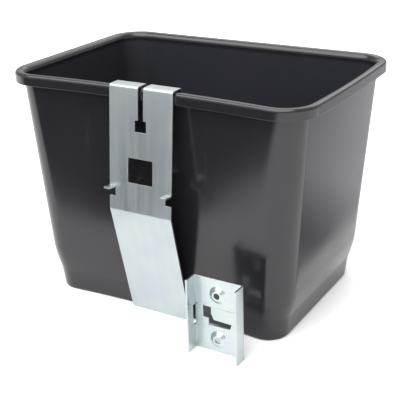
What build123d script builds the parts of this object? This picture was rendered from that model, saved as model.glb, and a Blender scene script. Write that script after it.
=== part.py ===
"""Feed bucket with a hook-over hanger strap and a two-screw wall bracket.

Frame: millimetres, +Z up. The origin is the middle of the tub's underside, on the
floor. +X runs along the tub's long side and -Y points out of the side that carries
the strap. The strap hangs on the tub's rim; the wall bracket stands loose in front.
"""
import os
from math import cos, radians, sin, tan

from build123d import *

os.makedirs("parts", exist_ok=True)

# ---- driving dimensions: tub ----
# an outline is (length, width, corner radius, bow of the -Y side, bulge of the +X side)
tub_height = 262.0
rim = (360.0, 247.0, 36.5, 10.0, 3.5)
wall_top = (340.2, 227.2, 27.0, 10.0, 5.0)
wall_foot = (308.0, 213.0, 28.0, 8.0, 0.2)       # the straight wall, carried down to the plinth
plinth_top = (297.5, 205.5, 24.0, 7.6, 0.2)
plinth_foot = (293.5, 202.0, 24.0, 7.6, 0.2)
rim_drop = 12.0              # height of the rim's downturned skirt
skirt_thickness = 2.4
rim_outer_round, rim_inner_round = 3.0, 7.0
wall_thickness, floor_thickness = 2.3, 3.0
plinth_height, plinth_foot_round = 23.0, 3.0
shoulder_height = 55.0       # below this the wall eases in to the plinth
shoulder_steps = 4

# ---- driving dimensions: hanger strap ----
sheet = 2.0                  # steel thickness, strap and bracket
strap_width = 76.0
strap_x = 1.6                # the strap hangs a touch off the tub's middle
strap_lean = 5.9             # degrees, the panel leans out going down
strap_gap = 0.35             # clearance to the tub's rim
hook_slack = 0.5             # more clearance behind the rim, for the hook's inner leg
hook_tilt = 6.5              # degrees, the hook's inner leg leans in going down
hook_leg_drop = 15.0
bend_height = 132.7          # where the panel turns back to the tub
foot_height = 0.3
foot_slope = 13.0            # degrees from upright, below the bend
front_bend, back_bend, crease_bend = 2.2, 2.8, 5.0
slot_width = 6.5
keyhole_width, keyhole_top, keyhole_foot = 14.0, 32.0, 44.0
window_width, window_top, window_foot = 30.2, 72.0, 98.6
notch_depth, notch_foot = 7.3, 115.8
tab_top, tab_length = 104.4, 10.5
foot_corner = 2.0
slot_overrun = 6.0           # the slot's cut runs on past the hook's top
cut_reach = 30.0             # a cut through the panel also reaches the hook's inner leg

# ---- driving dimensions: wall bracket ----
bracket_x, bracket_back_y = 99.0, -138.0
bracket_width, bracket_depth, bracket_height = 58.0, 17.0, 84.0
bracket_bend = 2.4           # outer radius of the two folds
hole_heights = (15.4, 66.6)
hole_radius = 3.4
boss_foot_radius, boss_top_radius, boss_rise = 10.0, 5.6, 3.0
hollow_foot_radius, hollow_top_radius = 9.2, 4.6
edge_slot_low, edge_slot_high = 27.4, 50.6
edge_slot_reach = 4.4        # how far the slot runs out along the flange, from the plate's flange side
tongue_left, tongue_root = -9.5, 15.0
tongue_low, tongue_high = 36.2, 50.7
tongue_set = 1.2             # how far the tongue's free end is pushed out of the plate
shear_line_end, shear_line_top = 19.5, 51.0          # the thin cut along the tongue's upper edge


def bowed_outline(length, width, corner, bow, bulge):
    """A rounded rectangle whose -Y side is an arc bowed inward and +X side an arc bulged outward."""
    with BuildSketch() as outline:
        with BuildLine():
            ThreePointArc((-length / 2, -width / 2), (0, -width / 2 + bow), (length / 2, -width / 2))
            ThreePointArc((length / 2, -width / 2), (length / 2 + bulge, 0), (length / 2, width / 2))
            Polyline((length / 2, width / 2), (-length / 2, width / 2), (-length / 2, -width / 2))
        make_face()
        fillet(vertices(), corner)
    return outline.sketch


def between(low, high, share):
    return tuple(a + (b - a) * share for a, b in zip(low, high))


def grown(size, by):
    """An outline's size, moved outward by that much all round."""
    length, width, corner, bow, bulge = size
    return (length + 2 * by, width + 2 * by, corner + by, bow, bulge)


def skin_size(height):
    """The tub's outer outline at a height, without its rim."""
    if height <= plinth_height:
        return between(plinth_foot, plinth_top, height / plinth_height)
    straight = between(wall_foot, wall_top, (height - plinth_height) / (skirt_foot - plinth_height))
    ease = max((shoulder_height - height) / (shoulder_height - plinth_height), 0) ** 2
    return between(straight, plinth_top, ease)


# ---- tub ----
skirt_foot = tub_height - rim_drop
shoulder_rise = (shoulder_height - plinth_height) / shoulder_steps
shoulder_levels = [plinth_height + shoulder_rise * i for i in range(shoulder_steps + 1)]

with BuildPart() as tub:
    # the outside: plinth, eased shoulder and tapered wall
    for height in (0, *shoulder_levels, skirt_foot):
        with BuildSketch(Plane.XY.offset(height)):
            add(bowed_outline(*skin_size(height)))
    loft(ruled=True)
    fillet(faces().sort_by(Axis.Z)[0].edges(), plinth_foot_round)
    # the rim: a solid band, rounded outside, hollowed from below into a skirt
    with BuildSketch(Plane.XY.offset(skirt_foot)):
        add(bowed_outline(*rim))
    extrude(amount=rim_drop)
    fillet(faces().sort_by(Axis.Z)[-1].edges(), rim_outer_round)
    with BuildSketch(Plane.XY.offset(skirt_foot)):
        add(bowed_outline(*grown(rim, -skirt_thickness)))
        add(bowed_outline(*wall_top), mode=Mode.SUBTRACT)
    extrude(amount=rim_drop - skirt_thickness, mode=Mode.SUBTRACT)
    # the inside, from the floor up to the rounded lip
    for height in (floor_thickness, *shoulder_levels, skirt_foot):
        with BuildSketch(Plane.XY.offset(height)):
            add(bowed_outline(*grown(skin_size(height), -wall_thickness)))
    with BuildSketch(Plane.XY.offset(tub_height)):
        add(bowed_outline(*grown(wall_top, -wall_thickness)))
    loft(ruled=True, mode=Mode.SUBTRACT)
    fillet(faces().filter_by(Plane.XY).sort_by(Axis.Z)[-1].inner_wires()[0].edges(), rim_inner_round)

tub.part.label = "tub"
export_step(tub.part, "parts/tub.step")

# ---- hanger strap ----
# mid-sheet line in the YZ plane: hook leg, hook top, leaning panel, foot
rim_length, rim_width, _, rim_bow, _ = rim
rim_face_y = -rim_width / 2 + rim_bow * (1 - (strap_width / rim_length) ** 2)
rim_wall_y = -wall_top[1] / 2 + wall_thickness + rim_bow
lean, tilt, slope = radians(strap_lean), radians(hook_tilt), radians(foot_slope)
hook_z = tub_height + strap_gap + sheet / 2
panel_y = rim_face_y - strap_gap - sheet / 2
hook_back_y = rim_wall_y + strap_gap + hook_slack + sheet / 2
leg_tip = (hook_back_y + hook_leg_drop * tan(tilt), hook_z - hook_leg_drop)
bend_point = (panel_y - (hook_z - bend_height) * tan(lean), bend_height)
foot_point = (bend_point[0] + (bend_height - foot_height) * tan(slope), foot_height)

# the panel's outer face: x along the strap's width, y up along the panel from rim level
face_y = panel_y - (hook_z - tub_height) * tan(lean) - sheet / 2 / cos(lean)
panel_face = Plane(origin=(strap_x, face_y, tub_height), x_dir=(1, 0, 0), z_dir=(0, -cos(lean), sin(lean)))
foot_normal = (0, -cos(slope), -sin(slope))

with BuildPart() as hanger_strap:
    with BuildSketch(Plane.YZ.offset(strap_x)):
        with BuildLine() as sheet_line:
            FilletPolyline(leg_tip, (hook_back_y, hook_z), (panel_y, hook_z), bend_point, foot_point,
                           radius=(back_bend, front_bend, crease_bend))
        trace(sheet_line.line, sheet)
    extrude(amount=strap_width / 2, both=True)
    # hook slot, keyhole, window and the two edge notches
    with BuildSketch(panel_face):
        with Locations((0, -keyhole_top)):
            Rectangle(slot_width, keyhole_top + slot_overrun, align=(Align.CENTER, Align.MIN))
        with Locations((0, -keyhole_foot)):
            Rectangle(keyhole_width, keyhole_foot - keyhole_top, align=(Align.CENTER, Align.MIN))
        with Locations((0, -window_foot)):
            Rectangle(window_width, window_foot - window_top, align=(Align.CENTER, Align.MIN))
        with Locations((-strap_width / 2, -notch_foot), (strap_width / 2, -notch_foot)):
            Rectangle(2 * notch_depth, notch_foot - tab_top - sheet, align=(Align.CENTER, Align.MIN))
    extrude(amount=cut_reach, both=True, mode=Mode.SUBTRACT)
    # the metal of each notch is folded out as a level tab
    with BuildSketch(panel_face):
        tab_x = strap_width / 2 - notch_depth / 2
        with Locations((-tab_x, -tab_top), (tab_x, -tab_top)):
            Rectangle(notch_depth, sheet, align=(Align.CENTER, Align.MAX))
    extrude(amount=tab_length)
    # clipped corners at the foot
    chamfer(edges().filter_by(Axis((0, 0, 0), foot_normal)).group_by(Axis.Z)[0], foot_corner)

hanger_strap.part.label = "hanger_strap"
export_step(hanger_strap.part, "parts/hanger_strap.step")

# ---- wall bracket ----
# a channel whose flanges stand toward -Y; its plate is the side that meets the strap
plate_y = bracket_back_y - sheet / 2          # middle of the plate's sheet
flange_x = (bracket_width - sheet) / 2        # middle of each flange's sheet
channel_line = ((bracket_x - flange_x, bracket_back_y - bracket_depth), (bracket_x - flange_x, plate_y),
                (bracket_x + flange_x, plate_y), (bracket_x + flange_x, bracket_back_y - bracket_depth))
tongue_width, tongue_drop = tongue_root - tongue_left, shear_line_top - tongue_low
latch_slot = ((-18.0, shear_line_top), (shear_line_end, shear_line_top), (shear_line_end, tongue_high),
              (tongue_left, tongue_high), (tongue_left, 42.8), (-6.3, tongue_low), (tongue_root, tongue_low),
              (13.2, 30.2), (-11.6, 29.8), (-11.6, 38.0), (-18.0, 38.0))

plate_back = Plane(origin=(bracket_x, bracket_back_y, 0), x_dir=(1, 0, 0), z_dir=(0, -1, 0))
low_end = (Align.CENTER, Align.CENTER, Align.MIN)

with BuildPart() as wall_bracket:
    with BuildSketch():
        with BuildLine() as channel:
            FilletPolyline(*channel_line, radius=bracket_bend - sheet / 2)
        trace(channel.line, sheet)
    extrude(amount=bracket_height)
    # dished screw bosses, raised on the flange side and hollow on the plate side
    with Locations([plate_back.offset(sheet) * Location((0, height)) for height in hole_heights]):
        Cone(boss_foot_radius, boss_top_radius, boss_rise, align=low_end)
    with Locations([plate_back * Location((0, height)) for height in hole_heights]):
        Cone(hollow_foot_radius, hollow_top_radius, boss_rise, align=low_end, mode=Mode.SUBTRACT)
        Cylinder(hole_radius, bracket_depth, align=low_end, mode=Mode.SUBTRACT)
    # the tongue: a piece of the plate cut free but for its right end, its free end pushed out toward the strap
    with BuildSketch(plate_back):
        with Locations((tongue_left, tongue_low)):
            Rectangle(tongue_width, tongue_drop, align=(Align.MIN, Align.MIN))
    extrude(amount=sheet, mode=Mode.SUBTRACT)
    tongue_end_x, tongue_root_x = bracket_x + tongue_left, bracket_x + tongue_root
    with BuildSketch(Plane.XY.offset(tongue_low)):
        with BuildLine():
            Polyline((tongue_root_x, bracket_back_y), (tongue_end_x, bracket_back_y + tongue_set),
                     (tongue_end_x, bracket_back_y + tongue_set - sheet), (tongue_root_x, bracket_back_y - sheet),
                     close=True)
        make_face()
    extrude(amount=tongue_high - tongue_low)
    # the stepped latch slot beside and under the tongue
    with BuildSketch(plate_back):
        with BuildLine():
            Polyline(*latch_slot, close=True)
        make_face()
    extrude(amount=2 * sheet, both=True, mode=Mode.SUBTRACT)
    # an upright slot in the left flange, cut through its fold
    with Locations((bracket_x - bracket_width / 2, bracket_back_y - sheet - edge_slot_reach, edge_slot_low)):
        Box(2 * sheet, edge_slot_reach + 2 * sheet, edge_slot_high - edge_slot_low,
            align=(Align.CENTER, Align.MIN, Align.MIN), mode=Mode.SUBTRACT)

wall_bracket.part.label = "wall_bracket"
export_step(wall_bracket.part, "parts/wall_bracket.step")
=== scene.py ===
"""Looks, light and camera for the feed bucket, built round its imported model.

Units: metres, +Z up. The tub's underside is at z = 0 and its strap side faces -Y.
"""
from math import atan2, cos, hypot, pi, radians, sin, sqrt, tan

import bmesh
import bpy
from mathutils import Matrix, Vector
from mathutils.geometry import delaunay_2d_cdt


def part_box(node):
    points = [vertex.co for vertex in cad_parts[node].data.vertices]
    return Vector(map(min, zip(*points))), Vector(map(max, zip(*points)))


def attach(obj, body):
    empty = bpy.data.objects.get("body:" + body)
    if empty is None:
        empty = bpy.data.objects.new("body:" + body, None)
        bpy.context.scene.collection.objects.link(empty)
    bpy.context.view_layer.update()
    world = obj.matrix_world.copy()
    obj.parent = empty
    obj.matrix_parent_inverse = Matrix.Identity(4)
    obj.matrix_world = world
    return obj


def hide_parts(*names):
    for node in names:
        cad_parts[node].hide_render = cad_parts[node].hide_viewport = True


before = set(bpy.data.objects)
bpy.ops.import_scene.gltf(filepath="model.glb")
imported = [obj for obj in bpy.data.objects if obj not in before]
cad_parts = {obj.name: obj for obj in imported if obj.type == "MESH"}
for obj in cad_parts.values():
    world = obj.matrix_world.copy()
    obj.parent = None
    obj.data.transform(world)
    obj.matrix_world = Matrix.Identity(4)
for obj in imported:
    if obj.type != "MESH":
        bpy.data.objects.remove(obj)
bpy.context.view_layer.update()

# ---- places and sizes that come from the frame ----
tub_lo, tub_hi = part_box("tub")
strap_lo, strap_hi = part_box("hanger_strap")
bracket_lo, bracket_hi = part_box("wall_bracket")

# ---- tub sizes ----
# an outline is (length, width, corner radius, bow of the -Y side, bulge of the +X side)
TUB_HEIGHT = tub_hi.z
RIM = (-2 * tub_lo.x, 2 * tub_hi.y, 0.0365, 0.010, 0.0035)
WALL_TOP = (0.3402, 0.2272, 0.027, 0.010, 0.005)
WALL_FOOT = (0.308, 0.213, 0.028, 0.008, 0.0002)     # the straight wall, carried down to the plinth
PLINTH_TOP = (0.2975, 0.2055, 0.024, 0.0076, 0.0002)
PLINTH_FOOT = (0.2935, 0.202, 0.024, 0.0076, 0.0002)
RIM_DROP, SKIRT = 0.012, 0.0024
RIM_OUTER_ROUND, RIM_INNER_ROUND = 0.0036, 0.007
SKIRT_EDGE_ROUND = 0.0007
WALL, FLOOR = 0.0023, 0.003
PLINTH_HEIGHT, PLINTH_FOOT_ROUND = 0.023, 0.003
SHOULDER_HEIGHT = 0.055      # below this the wall eases in to the plinth
SKIRT_FOOT = TUB_HEIGHT - RIM_DROP
INSIDE_ROUND = 0.003         # where the inner wall meets the floor

# ---- strap sizes: flat distances run down the panel from the rim's level ----
SHEET = 0.002
STRAP_WIDTH = strap_hi.x - strap_lo.x
STRAP_X = (strap_lo.x + strap_hi.x) / 2
STRAP_LEAN, HOOK_TILT, FOOT_SLOPE = radians(5.9), radians(6.5), radians(13.0)
HOOK_LEG_DROP, BEND_HEIGHT = 0.015, 0.1327
FRONT_BEND, BACK_BEND, CREASE_BEND = 0.0022, 0.0028, 0.005
SLOT_HALF, KEYHOLE_HALF, WINDOW_HALF = 0.00325, 0.007, 0.0151
KEYHOLE_TOP, KEYHOLE_FOOT = 0.032, 0.044
WINDOW_TOP, WINDOW_FOOT = 0.072, 0.0986
NOTCH_DEPTH, NOTCH_FOOT = 0.0073, 0.1158
TAB_LEVEL, TAB_LENGTH = 0.1054, 0.0105
TAB_BEND = 0.0012            # middle of the sheet
TAB_GAP = 0.0001             # the shear line between a tab and its panel
TAB_END_GAP = 0.0005         # a tab's blank ends this far above its notch's foot
FOOT_CORNER = 0.002
HOOK_SLACK = 0.0005          # the hook's inner leg clears the rim by this much more
FOOT_CLEARANCE = 0.0003      # the foot hangs just clear of the floor

# ---- bracket sizes: across from its middle, and up from its foot ----
BRACKET_X = (bracket_lo.x + bracket_hi.x) / 2
BRACKET_HEIGHT = bracket_hi.z
BRACKET_BEND = 0.0014        # middle of the sheet
TONGUE_LEFT, TONGUE_ROOT = -0.0095, 0.015
TONGUE_LOW, TONGUE_HIGH, TONGUE_SET = 0.0362, 0.0507, 0.0012
SHEAR_LINE_END, SHEAR_LINE_TOP = 0.0195, 0.051       # the thin cut along the tongue's upper edge
PLATE_FRONT_Y = -0.138       # the face that meets the strap
HOLE_HEIGHTS, HOLE_RADIUS = (0.0154, 0.0666), 0.0034
BOSS_FOOT, BOSS_TOP, BOSS_RISE = 0.0097, 0.0052, 0.003
EDGE_SLOT_LOW, EDGE_SLOT_HIGH = 0.0274, 0.0506
EDGE_SLOT_REACH = 0.0044     # how far the slot runs out along the left flange
LATCH_SLOT = ((-0.018, SHEAR_LINE_TOP), (SHEAR_LINE_END, SHEAR_LINE_TOP), (SHEAR_LINE_END, TONGUE_HIGH),
              (TONGUE_LEFT, TONGUE_HIGH), (TONGUE_LEFT, 0.0428), (-0.0063, TONGUE_LOW),
              (TONGUE_ROOT, TONGUE_LOW), (0.0132, 0.0302), (-0.0116, 0.0298),
              (-0.0116, 0.038), (-0.018, 0.038))

# ---- how finely curves are cut ----
ROUND_STEPS, CORNER_STEPS, LONG_STEPS, SIDE_STEPS = 6, 14, 40, 16
SHOULDER_STEPS, WALL_STEPS = 8, 10
BEND_STEPS, CIRCLE_STEPS = 8, 40
EDGE_BEVEL = 0.00028         # the broken edge of the sheet steel
SNAP = 1e-6                  # points nearer than this are one
PATTERN_SCALE, PATTERN_SNAP = 1000, 1e-5             # flat patterns are triangulated in mm
TUB_SHARP, SHEET_SHARP, BEVEL_SHARP = radians(50), radians(25), radians(40)

# ---- finishes: colours, then roughness ----
INNER_SKIN = "inner_skin"    # marks the tub's inside, which is rougher and wears a lighter colour as painted light
PLASTIC, PLASTIC_SCUFFED = (0.0110, 0.0106, 0.0128), (0.020, 0.020, 0.021)
# painted light: the inside is coloured lighter than the outside to stand in for light that the lamps don't
# bring into the tub
PLASTIC_INSIDE_PAINTED_LIGHT = (0.0215, 0.0220, 0.0280)
PLASTIC_IOR = 1.5
PLASTIC_SMOOTHEST, PLASTIC_ROUGHEST = 0.15, 0.21
SCUFF_ROUGHER, INSIDE_ROUGHER = 0.10, 0.15
STRAP_ZINC, STRAP_ROUGHNESS = (0.450, 0.480, 0.488), 0.38
BRACKET_ZINC, BRACKET_ROUGHNESS = (0.49, 0.53, 0.53), 0.30
ZINC_COOL, ZINC_WARM = (0.90, 0.94, 1.00), (1.05, 1.06, 1.02)
BAND_SMOOTHER, BAND_ROUGHER, WEAR_ROUGHER = 0.04, 0.05, 0.08
DOWN_THE_BLANK, ACROSS_THE_BLANK = (1, 0.03, 1), (0.03, 1, 1)        # which way rolling streaks run

# ---- studio ----
FLOOR_REACH, FLOOR_SHADE, FLOOR_ROUGHNESS = 8.0, 0.91, 0.9
SKY_STRENGTH = 0.75
# a sun is (direction toward it, strength, degrees across)
KEY_SUN = ((-0.10, -0.45, 0.84), 4.3, 70)
FILL_SUN = ((-0.10, 0.60, 0.70), 1.2, 60)
FLAG_HEIGHT = 0.004
# painted reflection: a faintly glowing dark sheet that only reflections see, darkening what the tub's front
# and the strap mirror
DARK_SIDE, DARK_SIDE_SHADE = (
    (-2.5, -3.0), (0.8, -3.0), (0.25, -1.2), (0.03, -0.75), (-0.09, -0.60), (-0.150, -0.54), (-0.136, -0.43),
    (-0.106, -0.355), (-0.102, -0.285), (-0.14, -0.262), (-0.182, -0.270), (-0.25, -0.305), (-0.321, -0.358),
    (-0.45, -0.45), (-0.70, -0.60), (-2.5, -0.70)), (0.05, 0.05, 0.075)
# painted shadow: a glowing sheet that only reflections see, darkest beside the tub's right side, standing in
# for the tub's shadow on the floor there
DIM_SIDE, DIM_SIDE_SHADE = (
    (0.205, -0.01), (0.30, 0.10), (0.47, 0.30), (1.4, 1.5), (1.0, 3.0), (0.25, 1.2),
    (0.195, 0.30)), (1.0, 0.99, 1.02)
DIM_SIDE_DARKEST = (0.245, 0.115)
DIM_NEAR, DIM_FAR = 0.02, 0.20                       # distances between which the painted shadow brightens
DIM_STRENGTH, FULL_STRENGTH = 0.35, 1.1


# ---------------------------------------------------------------- meshes
def new_piece(name, mesh, body, node, finish):
    """A piece that rides its body, stands for its CAD node and wears its finish."""
    piece = bpy.data.objects.new(name, mesh)
    bpy.context.scene.collection.objects.link(piece)
    mesh.materials.append(finish)
    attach(piece, body)
    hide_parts(node)
    return piece


# ---------------------------------------------------------------- tub
def grown(size, by):
    """An outline's size, moved outward by that much all round."""
    length, width, corner, bow, bulge = size
    return (length + 2 * by, width + 2 * by, corner + by, bow, bulge)


def between(a, b, share):
    return tuple(p + (q - p) * share for p, q in zip(a, b))


def straight_run(a, b, steps):
    """Points from a to b, without b."""
    return [tuple(p + (q - p) * i / steps for p, q in zip(a, b)) for i in range(steps)]


def arc_run(centre, radius, start, stop, steps):
    """Points round an arc, without its last."""
    angles = [start + (stop - start) * i / steps for i in range(steps)]
    return [(centre[0] + radius * cos(a), centre[1] + radius * sin(a)) for a in angles]


def crossing(a, radius_a, b, radius_b):
    """Where two circles cross, on the right of the way from a to b."""
    dx, dy = b[0] - a[0], b[1] - a[1]
    gap = hypot(dx, dy)
    ahead = (gap ** 2 + radius_a ** 2 - radius_b ** 2) / (2 * gap)
    aside = sqrt(radius_a ** 2 - ahead ** 2)
    return (a[0] + (dx * ahead + dy * aside) / gap, a[1] + (dy * ahead - dx * aside) / gap)


def bowed_outline(size):
    """A rounded rectangle, anticlockwise: its -Y side is bowed inward and its +X side bulges."""
    length, width, corner, bow, bulge = size
    half, back = length / 2, width / 2
    bow_radius = (half ** 2 + bow ** 2) / (2 * bow)
    bow_centre = (0, bow - back - bow_radius)
    bulge_radius = (back ** 2 + bulge ** 2) / (2 * bulge)
    bulge_centre = (half + bulge - bulge_radius, 0)
    # each corner's round touches both of its sides
    low_left = (corner - half, bow_centre[1] + sqrt((bow_radius + corner) ** 2 - (half - corner) ** 2))
    low_right = crossing(bow_centre, bow_radius + corner, bulge_centre, bulge_radius - corner)
    reach = sqrt((bulge_radius - corner) ** 2 - (back - corner) ** 2)
    high_right = (bulge_centre[0] + reach, back - corner)
    high_left = (corner - half, back - corner)

    def bearing(centre, point):
        return atan2(point[1] - centre[1], point[0] - centre[0])

    bow_start, bow_end = bearing(bow_centre, low_left), bearing(bow_centre, low_right)
    bulge_start, bulge_end = bearing(bulge_centre, low_right), bearing(bulge_centre, high_right)
    points = arc_run(bow_centre, bow_radius, bow_start, bow_end, LONG_STEPS)
    points += arc_run(low_right, corner, bow_end - pi, bulge_start, CORNER_STEPS)
    points += arc_run(bulge_centre, bulge_radius, bulge_start, bulge_end, SIDE_STEPS)
    points += arc_run(high_right, corner, bulge_end, pi / 2, CORNER_STEPS)
    points += straight_run((high_right[0], back), (high_left[0], back), LONG_STEPS)
    points += arc_run(high_left, corner, pi / 2, pi, CORNER_STEPS)
    points += straight_run((-half, high_left[1]), (-half, low_left[1]), SIDE_STEPS)
    points += arc_run(low_left, corner, pi, pi + bow_start, CORNER_STEPS)
    return points


def arc_rows(size, height, radius, start, stop):
    """Profile rows round an arc about an outline at that height; 0 degrees faces outward."""
    angles = [radians(start + (stop - start) * i / ROUND_STEPS) for i in range(ROUND_STEPS + 1)]
    return [(grown(size, radius * cos(a)), height + radius * sin(a)) for a in angles]


def skin_size(height):
    """The tub's outer outline at a height, without its rim."""
    if height <= PLINTH_HEIGHT:
        return between(PLINTH_FOOT, PLINTH_TOP, height / PLINTH_HEIGHT)
    straight = between(WALL_FOOT, WALL_TOP, (height - PLINTH_HEIGHT) / (SKIRT_FOOT - PLINTH_HEIGHT))
    ease = max((SHOULDER_HEIGHT - height) / (SHOULDER_HEIGHT - PLINTH_HEIGHT), 0) ** 2
    return between(straight, PLINTH_TOP, ease)


def levels(low, high, steps):
    return [low + (high - low) * i / steps for i in range(steps + 1)]


def tub_rows():
    """The tub's skin as (outline, height) rows: up, over the rim and down. Also tells the first inner row."""
    wall_levels = [*levels(PLINTH_HEIGHT, SHOULDER_HEIGHT, SHOULDER_STEPS),
                   *levels(SHOULDER_HEIGHT, SKIRT_FOOT, WALL_STEPS)[1:]]
    pocket_top = TUB_HEIGHT - SKIRT
    foot_round = PLINTH_FOOT_ROUND
    rows = arc_rows(grown(skin_size(foot_round), -foot_round), foot_round, foot_round, -90, 0)
    rows += [(skin_size(z), z) for z in (PLINTH_HEIGHT / 2, *wall_levels)]
    # the pocket behind the skirt, and the skirt's thin edge
    rows += [(WALL_TOP, pocket_top), (grown(RIM, -SKIRT), pocket_top)]
    edge = SKIRT_EDGE_ROUND
    rows += arc_rows(grown(RIM, edge - SKIRT), SKIRT_FOOT + edge, edge, 180, 270)
    rows += arc_rows(grown(RIM, -edge), SKIRT_FOOT + edge, edge, -90, 0)
    # the rim's rounded top, from its outer face to the inner wall
    outer, inner = RIM_OUTER_ROUND, RIM_INNER_ROUND
    rows += arc_rows(grown(RIM, -outer), TUB_HEIGHT - outer, outer, 0, 90)
    rows += arc_rows(grown(WALL_TOP, inner - WALL), TUB_HEIGHT - inner, inner, 90, 180)
    inner_start = len(rows)
    rows += [(grown(skin_size(z), -WALL), z) for z in reversed(wall_levels)]
    floor_edge = FLOOR + INSIDE_ROUND
    rows += arc_rows(grown(skin_size(floor_edge), -WALL - INSIDE_ROUND), floor_edge, INSIDE_ROUND, 0, -90)
    return rows, inner_start


def tub_mesh():
    bm = bmesh.new()
    inner = bm.verts.layers.float.new(INNER_SKIN)
    rows, inner_start = tub_rows()
    rings = [[bm.verts.new((x, y, height)) for x, y in bowed_outline(size)] for size, height in rows]
    for lower, upper in zip(rings, rings[1:]):
        for i in range(len(lower)):
            j = (i + 1) % len(lower)
            bm.faces.new((lower[i], lower[j], upper[j], upper[i]))
    bm.faces.new(reversed(rings[0]))
    bm.faces.new(rings[-1])
    for ring in rings[inner_start:]:
        for vert in ring:
            vert[inner] = 1.0
    bmesh.ops.remove_doubles(bm, verts=bm.verts[:], dist=SNAP)
    bmesh.ops.recalc_face_normals(bm, faces=bm.faces[:])
    mesh = bpy.data.meshes.new("tub_shell")
    bm.to_mesh(mesh)
    bm.free()
    mesh.shade_smooth()
    mesh.set_sharp_from_angle(angle=TUB_SHARP)
    return mesh


# ---------------------------------------------------------------- sheet steel
def inside(point, polygon):
    """True if a flat point is inside a polygon."""
    hit = False
    for (x0, y0), (x1, y1) in zip(polygon, polygon[1:] + polygon[:1]):
        if (y0 > point[1]) != (y1 > point[1]) and point[0] < x0 + (point[1] - y0) / (y1 - y0) * (x1 - x0):
            hit = not hit
    return hit


def flat_pattern(outline, holes, folds, rings):
    """Triangles that fill a flat blank: its outline less its holes, with an edge along each fold and ring."""
    points, edges = [], []
    for loop in [outline, *holes, *rings]:
        first = len(points)
        points += [Vector(p) for p in loop]
        edges += [(first + i, first + (i + 1) % len(loop)) for i in range(len(loop))]
    for a, b in folds:
        edges.append((len(points), len(points) + 1))
        points += [Vector(a), Vector(b)]
    flat, _, faces, *_ = delaunay_2d_cdt([p * PATTERN_SCALE for p in points], edges, [], 0, PATTERN_SNAP)
    flat = [p / PATTERN_SCALE for p in flat]
    kept = []
    for face in faces:
        middle = sum((flat[i] for i in face), Vector((0, 0))) / len(face)
        if inside(middle, list(outline)) and not any(inside(middle, list(hole)) for hole in holes):
            kept.append(face)
    return flat, kept


def sheet_mesh(name, flat, faces, place):
    """A blank given its thickness and folded; place(u, v) gives the sheet's middle and its normal there."""
    bm = bmesh.new()
    sides = []
    used = sorted({i for face in faces for i in face})
    for sign in (1, -1):
        made = {}
        for i in used:
            middle, normal = place(flat[i].x, flat[i].y)
            made[i] = bm.verts.new(middle + normal * sign * SHEET / 2)
        sides.append(made)
    uv = bm.loops.layers.uv.new("blank")
    count = {}
    for face in faces:
        bm.faces.new([sides[0][i] for i in face])
        bm.faces.new([sides[1][i] for i in reversed(face)])
        for a, b in zip(face, face[1:] + face[:1]):
            count[(a, b)] = count.get((a, b), 0) + 1
    for a, b in count:
        if (b, a) not in count:
            bm.faces.new((sides[0][b], sides[0][a], sides[1][a], sides[1][b]))
    where = {vert: flat[i] for side in sides for i, vert in side.items()}
    for face in bm.faces:
        for loop in face.loops:
            loop[uv].uv = where[loop.vert]
    bmesh.ops.recalc_face_normals(bm, faces=bm.faces[:])
    mesh = bpy.data.meshes.new(name)
    bm.to_mesh(mesh)
    bm.free()
    mesh.shade_smooth()
    mesh.set_sharp_from_angle(angle=SHEET_SHARP)
    return mesh


def break_edges(piece):
    """A small bevel on every sheared edge, with the flat faces kept flat."""
    bevel = piece.modifiers.new("broken_edges", "BEVEL")
    bevel.width, bevel.segments = EDGE_BEVEL, 2
    bevel.limit_method, bevel.angle_limit = "ANGLE", BEVEL_SHARP
    bevel.use_clamp_overlap = False
    bevel.harden_normals = True
    bevel.miter_outer = "MITER_ARC"


def folded_line(points, radii):
    """A line with its corners rounded, as runs of (kind, length, data) in the YZ plane."""
    runs, start = [], points[0]
    for before, corner, after, radius in zip(points, points[1:], points[2:], radii):
        arrive, leave = (corner - before).normalized(), (after - corner).normalized()
        bend = arrive.angle_signed(leave)            # clockwise is positive
        reach = radius * tan(abs(bend) / 2)
        runs.append(("straight", (corner - arrive * reach - start).length, (start, arrive)))
        side = Vector((-arrive.y, arrive.x)) * (-1 if bend > 0 else 1)
        centre = corner - arrive * reach + side * radius
        runs.append(("bend", radius * abs(bend), (centre, -side * radius, -bend)))
        start = corner + leave * reach
    runs.append(("straight", (points[-1] - start).length, (start, (points[-1] - start).normalized())))
    return runs


def along(runs, distance):
    """The point and heading at a distance along a folded line."""
    for kind, length, data in runs:
        if distance <= length or (kind, length, data) == runs[-1]:
            break
        distance -= length
    if kind == "straight":
        start, heading = data
        return start + heading * distance, heading
    centre, arm, bend = data
    spin = Matrix.Rotation(bend * distance / length, 2)
    arm = spin @ arm
    heading = Vector((-arm.y, arm.x)).normalized() * (1 if bend > 0 else -1)
    return centre + arm, heading


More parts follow.
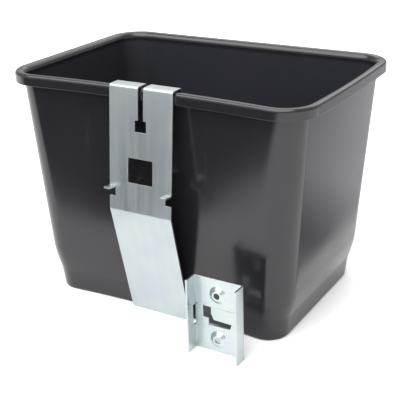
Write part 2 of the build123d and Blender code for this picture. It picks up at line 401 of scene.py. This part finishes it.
def strap_runs():
    """The strap's middle line from the hook's tip to the foot, as (y, z) runs."""
    rim_face_y = -RIM[1] / 2 + RIM[3] * (1 - (STRAP_WIDTH / RIM[0]) ** 2)
    gap = (strap_hi.z - TUB_HEIGHT) - SHEET
    hook_z = strap_hi.z - SHEET / 2
    panel_y = rim_face_y - gap - SHEET / 2
    back_y = -WALL_TOP[1] / 2 + WALL + RIM[3] + gap + HOOK_SLACK + SHEET / 2
    foot_z = FOOT_CLEARANCE
    bend_y = panel_y - (hook_z - BEND_HEIGHT) * tan(STRAP_LEAN)
    points = [Vector((back_y + HOOK_LEG_DROP * tan(HOOK_TILT), hook_z - HOOK_LEG_DROP)),
              Vector((back_y, hook_z)), Vector((panel_y, hook_z)), Vector((bend_y, BEND_HEIGHT)),
              Vector((bend_y + (BEND_HEIGHT - foot_z) * tan(FOOT_SLOPE), foot_z))]
    # how far along the line the panel reaches the rim's level, where flat distances start
    runs = folded_line(points, (BACK_BEND, FRONT_BEND, CREASE_BEND))
    corner_back = FRONT_BEND * tan((pi / 2 - STRAP_LEAN) / 2)
    before_panel = sum(length for _, length, _ in runs[:4])
    to_level = (hook_z - TUB_HEIGHT) / cos(STRAP_LEAN) - SHEET / 2 * tan(STRAP_LEAN) - corner_back
    return runs, before_panel + to_level


def strap_mesh():
    runs, level = strap_runs()
    total = sum(length for _, length, _ in runs)
    tip, foot, half = -level, total - level, STRAP_WIDTH / 2
    shear = half - NOTCH_DEPTH
    tab_root = TAB_LEVEL - TAB_BEND
    tab_end = NOTCH_FOOT - TAB_END_GAP
    fold_length = TAB_BEND * pi / 2
    tab_reach = TAB_LENGTH - (TAB_BEND - SHEET / 2)

    def place(u, v):
        point, heading = along(runs, min(v, tab_root) + level if is_tab(u, v) else v + level)
        outward = Vector((heading.y, -heading.x))
        if is_tab(u, v):
            s = (v - tab_root) / (tab_end - tab_root) * (fold_length + tab_reach)
            angle = min(s / TAB_BEND, pi / 2)
            point = point + heading * TAB_BEND * sin(angle) + outward * TAB_BEND * (1 - cos(angle))
            point = point + outward * max(s - fold_length, 0)
            outward = outward * cos(angle) - heading * sin(angle)
        return Vector((STRAP_X + u, point.x, point.y)), Vector((0, outward.x, outward.y))

    def is_tab(u, v):
        return abs(u) > shear + TAB_GAP / 2 and tab_root < v <= tab_end + TAB_GAP

    side = [(half, tab_end), (shear + TAB_GAP, tab_end), (shear + TAB_GAP, tab_root), (shear, tab_root),
            (shear, NOTCH_FOOT), (half, NOTCH_FOOT), (half, foot - FOOT_CORNER), (half - FOOT_CORNER, foot)]
    hook = [(SLOT_HALF, KEYHOLE_TOP), (SLOT_HALF, tip), (half, tip)]
    keyhole = [(KEYHOLE_HALF, KEYHOLE_FOOT), (KEYHOLE_HALF, KEYHOLE_TOP)]
    right = keyhole + hook + side
    outline = right + [(-u, v) for u, v in reversed(right)]
    window = [(-WINDOW_HALF, WINDOW_TOP), (WINDOW_HALF, WINDOW_TOP),
              (WINDOW_HALF, WINDOW_FOOT), (-WINDOW_HALF, WINDOW_FOOT)]
    folds, run_start = [], tip
    for kind, length, _ in runs:
        if kind == "bend":
            marks = [run_start + length * i / BEND_STEPS for i in range(BEND_STEPS + 1)]
            folds += [((-half, v), (half, v)) for v in marks]
        run_start += length
    share = fold_length / (fold_length + tab_reach)
    for i in range(BEND_STEPS + 1):
        v = tab_root + (tab_end - tab_root) * share * i / BEND_STEPS
        folds += [((sign * (shear + TAB_GAP), v), (sign * half, v)) for sign in (-1, 1)]
    flat, faces = flat_pattern(outline, [window], folds, [])
    return sheet_mesh("strap_strip", flat, faces, place)


def bracket_mesh():
    plate_y = PLATE_FRONT_Y - SHEET / 2
    flange_middle = (bracket_hi.x - bracket_lo.x - SHEET) / 2
    straight = flange_middle - BRACKET_BEND
    fold_length = BRACKET_BEND * pi / 2
    flange_run = PLATE_FRONT_Y - bracket_lo.y - SHEET / 2 - BRACKET_BEND
    edge = straight + fold_length + flange_run
    flange_start = straight + fold_length

    def rise(u, v):
        """How far the sheet is pressed toward the wall side."""
        reach = min(hypot(u, v - height) for height in HOLE_HEIGHTS)
        share = (BOSS_FOOT - reach) / (BOSS_FOOT - BOSS_TOP)
        lift = BOSS_RISE * min(max(share, 0), 1)
        if TONGUE_LEFT - SNAP <= u <= TONGUE_ROOT and TONGUE_LOW - SNAP <= v <= TONGUE_HIGH + SNAP:
            lift -= TONGUE_SET * (TONGUE_ROOT - u) / (TONGUE_ROOT - TONGUE_LEFT)
        return lift

    def place(u, v):
        sign = -1 if u < 0 else 1
        past = abs(u) - straight
        if past <= 0:
            return Vector((BRACKET_X + u, plate_y - rise(u, v), v)), Vector((0, 1, 0))
        angle = min(past / BRACKET_BEND, pi / 2)
        x = straight + BRACKET_BEND * sin(angle)
        y = plate_y - BRACKET_BEND * (1 - cos(angle)) - max(past - fold_length, 0)
        return Vector((BRACKET_X + sign * x, y, v)), Vector((sign * sin(angle), cos(angle), 0))

    outline = [(-edge, 0), (edge, 0), (edge, BRACKET_HEIGHT), (-edge, BRACKET_HEIGHT)]
    holes = [list(LATCH_SLOT)]
    slot_near = straight + BRACKET_BEND - SHEET / 2      # at the flange's inner face
    slot_far = flange_start + EDGE_SLOT_REACH + SHEET / 2 - BRACKET_BEND
    holes.append([(-slot_near, EDGE_SLOT_LOW), (-slot_far, EDGE_SLOT_LOW),
                  (-slot_far, EDGE_SLOT_HIGH), (-slot_near, EDGE_SLOT_HIGH)])
    rings = []
    for height in HOLE_HEIGHTS:
        angles = [2 * pi * i / CIRCLE_STEPS for i in range(CIRCLE_STEPS)]
        reaches = (HOLE_RADIUS, BOSS_TOP, BOSS_FOOT)
        circles = [[(reach * cos(a), height + reach * sin(a)) for a in angles] for reach in reaches]
        holes.append(circles[0])
        rings += circles[1:]
    folds = []
    for i in range(BEND_STEPS + 1):
        u = straight + fold_length * i / BEND_STEPS
        folds += [((sign * u, 0), (sign * u, BRACKET_HEIGHT)) for sign in (-1, 1)]
    folds.append(((TONGUE_ROOT, TONGUE_LOW), (TONGUE_ROOT, TONGUE_HIGH)))
    flat, faces = flat_pattern(outline, holes, folds, rings)
    return sheet_mesh("bracket_channel", flat, faces, place)


# ---------------------------------------------------------------- finishes
def finish_nodes(name):
    """A new material with its node tree and its main shader."""
    material = bpy.data.materials.new(name)
    material.use_nodes = True
    return material, material.node_tree, material.node_tree.nodes["Principled BSDF"]


def noise(tree, source, scale, squeeze=(1, 1, 1), detail=4.0, rough=0.55):
    """Noise over a piece's own coordinates; squeeze stretches it along an axis."""
    coords = tree.nodes.new("ShaderNodeTexCoord")
    mapping = tree.nodes.new("ShaderNodeMapping")
    texture = tree.nodes.new("ShaderNodeTexNoise")
    mapping.inputs["Scale"].default_value = squeeze
    texture.inputs["Scale"].default_value = scale
    texture.inputs["Detail"].default_value = detail
    texture.inputs["Roughness"].default_value = rough
    tree.links.new(coords.outputs[source], mapping.inputs["Vector"])
    tree.links.new(mapping.outputs["Vector"], texture.inputs["Vector"])
    return texture.outputs["Fac"]


def spread(tree, value, low, high, out_low, out_high):
    """A value's range low to high, spread over another range."""
    node = tree.nodes.new("ShaderNodeMapRange")
    for socket, number in zip(("From Min", "From Max", "To Min", "To Max"), (low, high, out_low, out_high)):
        node.inputs[socket].default_value = number
    tree.links.new(value, node.inputs["Value"])
    return node.outputs["Result"]


def combine(tree, how, a, b):
    node = tree.nodes.new("ShaderNodeMath")
    node.operation = how
    for socket, value in zip(node.inputs, (a, b)):
        if isinstance(value, (int, float)):
            socket.default_value = value
        else:
            tree.links.new(value, socket)
    return node.outputs["Value"]


def tint(tree, share, low, high):
    """A colour between two, by a share from 0 to 1; each is three numbers or another node's colour."""
    node = tree.nodes.new("ShaderNodeMix")
    node.data_type = "RGBA"
    colour_sockets = [socket for socket in node.inputs if socket.type == "RGBA"]
    for socket, colour in zip(colour_sockets, (low, high)):
        if isinstance(colour, tuple):
            socket.default_value = (*colour, 1)
        else:
            tree.links.new(colour, socket)
    tree.links.new(share, node.inputs["Factor"])
    return next(socket for socket in node.outputs if socket.type == "RGBA")


def bump(tree, height, distance, strength, under=None):
    node = tree.nodes.new("ShaderNodeBump")
    node.inputs["Distance"].default_value = distance
    node.inputs["Strength"].default_value = strength
    tree.links.new(height, node.inputs["Height"])
    if under is not None:
        tree.links.new(under, node.inputs["Normal"])
    return node.outputs["Normal"]


def black_plastic():
    """Moulded polypropylene: black, semi-gloss, faintly wavy, with light scuffs; rougher inside, where a
    lighter colour is painted light.
    """
    material, tree, shader = finish_nodes("black_plastic")
    shader.inputs["IOR"].default_value = PLASTIC_IOR
    mark = tree.nodes.new("ShaderNodeAttribute")
    mark.attribute_name = INNER_SKIN
    inner = mark.outputs["Fac"]
    scuffs = spread(tree, noise(tree, "Object", 45, (1, 1, 0.25), 6, 0.7), 0.60, 0.78, 0, 1)
    cloud = noise(tree, "Object", 14)
    outer = tint(tree, scuffs, PLASTIC, PLASTIC_SCUFFED)
    # painted light: the inside takes its lighter colour here
    tree.links.new(tint(tree, inner, outer, PLASTIC_INSIDE_PAINTED_LIGHT), shader.inputs["Base Color"])
    clouded = spread(tree, cloud, 0.35, 0.65, PLASTIC_SMOOTHEST, PLASTIC_ROUGHEST)
    rough = combine(tree, "ADD", clouded, combine(tree, "MULTIPLY", scuffs, SCUFF_ROUGHER))
    rough = combine(tree, "ADD", rough, combine(tree, "MULTIPLY", inner, INSIDE_ROUGHER))
    tree.links.new(rough, shader.inputs["Roughness"])
    wavy = bump(tree, noise(tree, "Object", 9, detail=1), 0.0012, 0.25)
    grain = bump(tree, noise(tree, "Object", 700, detail=2), 0.00003, 0.35, wavy)
    tree.links.new(grain, shader.inputs["Normal"])
    return material


def zinc_steel(name, streak_way, base, roughness):
    """Zinc-plated sheet: a soft metal sheen with fine rolling streaks and faint passivation tints."""
    material, tree, shader = finish_nodes(name)
    shader.inputs["Metallic"].default_value = 1.0
    streaks = noise(tree, "UV", 900, streak_way, 3, 0.6)
    bands = noise(tree, "UV", 160, streak_way, 3, 0.6)
    hue = noise(tree, "UV", 24, detail=2)
    wear = spread(tree, noise(tree, "UV", 120, detail=6, rough=0.7), 0.58, 0.75, 0, 1)
    cool = tuple(channel * part for channel, part in zip(base, ZINC_COOL))
    warm = tuple(channel * part for channel, part in zip(base, ZINC_WARM))
    share = combine(tree, "ADD", spread(tree, hue, 0.35, 0.65, 0, 0.6),
                    spread(tree, bands, 0.38, 0.62, 0, 0.4))
    tree.links.new(tint(tree, share, cool, warm), shader.inputs["Base Color"])
    banded = spread(tree, bands, 0.3, 0.7, roughness - BAND_SMOOTHER, roughness + BAND_ROUGHER)
    rough = combine(tree, "ADD", banded, combine(tree, "MULTIPLY", wear, WEAR_ROUGHER))
    tree.links.new(rough, shader.inputs["Roughness"])
    fine = bump(tree, streaks, 0.00002, 0.5)
    tree.links.new(bump(tree, bands, 0.00006, 0.35, fine), shader.inputs["Normal"])
    return material


# ---------------------------------------------------------------- stage
def plane_mesh(name, corners):
    mesh = bpy.data.meshes.new(name)
    mesh.from_pydata(corners, [], [tuple(range(len(corners)))])
    item = bpy.data.objects.new(name, mesh)
    bpy.context.scene.collection.objects.link(item)
    return item


def make_floor():
    corners = [(x * FLOOR_REACH, y * FLOOR_REACH, 0) for x, y in ((-1, -1), (1, -1), (1, 1), (-1, 1))]
    floor = plane_mesh("floor", corners)
    material, _, shader = finish_nodes("pale_floor")
    shader.inputs["Base Color"].default_value = (FLOOR_SHADE, FLOOR_SHADE, FLOOR_SHADE, 1)
    shader.inputs["Roughness"].default_value = FLOOR_ROUGHNESS
    shader.inputs["Specular IOR Level"].default_value = 0.0
    floor.data.materials.append(material)


def make_flag(name, outline, shade, darkest=None):
    """A glowing sheet on the studio floor that only reflections see, a painted reflection; with a darkest
    spot it brightens away from there, and so paints the tub's shadow into reflections.
    """
    flag = plane_mesh(name, [(x, y, FLAG_HEIGHT) for x, y in outline])
    material = bpy.data.materials.new(name)
    material.use_nodes = True
    tree = material.node_tree
    tree.nodes.clear()
    glow, out = tree.nodes.new("ShaderNodeEmission"), tree.nodes.new("ShaderNodeOutputMaterial")
    glow.inputs["Color"].default_value = (*shade, 1)
    if darkest is not None:
        coords, reach = tree.nodes.new("ShaderNodeTexCoord"), tree.nodes.new("ShaderNodeVectorMath")
        reach.operation = "DISTANCE"
        reach.inputs[1].default_value = (*darkest, FLAG_HEIGHT)
        tree.links.new(coords.outputs["Object"], reach.inputs[0])
        strength = spread(tree, reach.outputs["Value"], DIM_NEAR, DIM_FAR, DIM_STRENGTH, FULL_STRENGTH)
        tree.links.new(strength, glow.inputs["Strength"])
    tree.links.new(glow.outputs["Emission"], out.inputs["Surface"])
    flag.data.materials.append(material)
    flag.visible_camera = flag.visible_diffuse = flag.visible_shadow = False
    flag.visible_transmission = flag.visible_volume_scatter = False


def make_sun(name, toward, strength, across):
    """A broad, even light from a direction; its wide disc softens every shadow."""
    lamp = bpy.data.lights.new(name, "SUN")
    lamp.energy, lamp.angle = strength, radians(across)
    item = bpy.data.objects.new(name, lamp)
    item.rotation_mode = "QUATERNION"
    item.rotation_quaternion = (-Vector(toward)).to_track_quat("-Z", "Y")
    bpy.context.scene.collection.objects.link(item)


def make_light():
    world = bpy.data.worlds.new("studio")
    world.use_nodes = True
    sky = world.node_tree.nodes["Background"]
    sky.inputs["Color"].default_value = (1, 1, 1, 1)
    sky.inputs["Strength"].default_value = SKY_STRENGTH
    bpy.context.scene.world = world
    make_sun("key", *KEY_SUN)
    make_sun("fill", *FILL_SUN)
    # painted dark reflection, seen only in reflections
    make_flag("dark_side", DARK_SIDE, DARK_SIDE_SHADE)
    # painted shadow of the tub, seen only in reflections
    make_flag("painted_shadow_flag", DIM_SIDE, DIM_SIDE_SHADE, DIM_SIDE_DARKEST)
    bpy.context.scene.view_settings.view_transform = "Standard"


def make_camera():
    azimuth, elevation, roll = radians(31.37), radians(22.48), radians(-1.78)
    aim, distance = Vector((0.0027, -0.0107, 0.1045)), 1.0357
    back = Vector((sin(azimuth) * cos(elevation), -cos(azimuth) * cos(elevation), sin(elevation)))
    right = Vector((cos(azimuth), sin(azimuth), 0))
    up = back.cross(right)
    turned = Matrix((right, up, back)).transposed() @ Matrix.Rotation(roll, 3, "Z")
    lens = bpy.data.cameras.new("camera")
    lens.sensor_width, lens.lens = 36.0, 80.85
    camera = bpy.data.objects.new("camera", lens)
    camera.matrix_world = Matrix.Translation(aim + back * distance) @ turned.to_4x4()
    bpy.context.scene.collection.objects.link(camera)
    bpy.context.scene.camera = camera


tub_shell = new_piece("tub_shell", tub_mesh(), "tub", "tub", black_plastic())
strap_zinc = zinc_steel("strap_zinc", DOWN_THE_BLANK, STRAP_ZINC, STRAP_ROUGHNESS)
strap_strip = new_piece("strap_strip", strap_mesh(), "hanger_strap", "hanger_strap",
                        strap_zinc)
bracket_zinc = zinc_steel("bracket_zinc", ACROSS_THE_BLANK, BRACKET_ZINC, BRACKET_ROUGHNESS)
bracket_channel = new_piece("bracket_channel", bracket_mesh(), "wall_bracket", "wall_bracket",
                            bracket_zinc)
break_edges(strap_strip)
break_edges(bracket_channel)
tub_shell.modifiers.new("flat_faces", "WEIGHTED_NORMAL").keep_sharp = True

make_floor()
make_light()
make_camera()
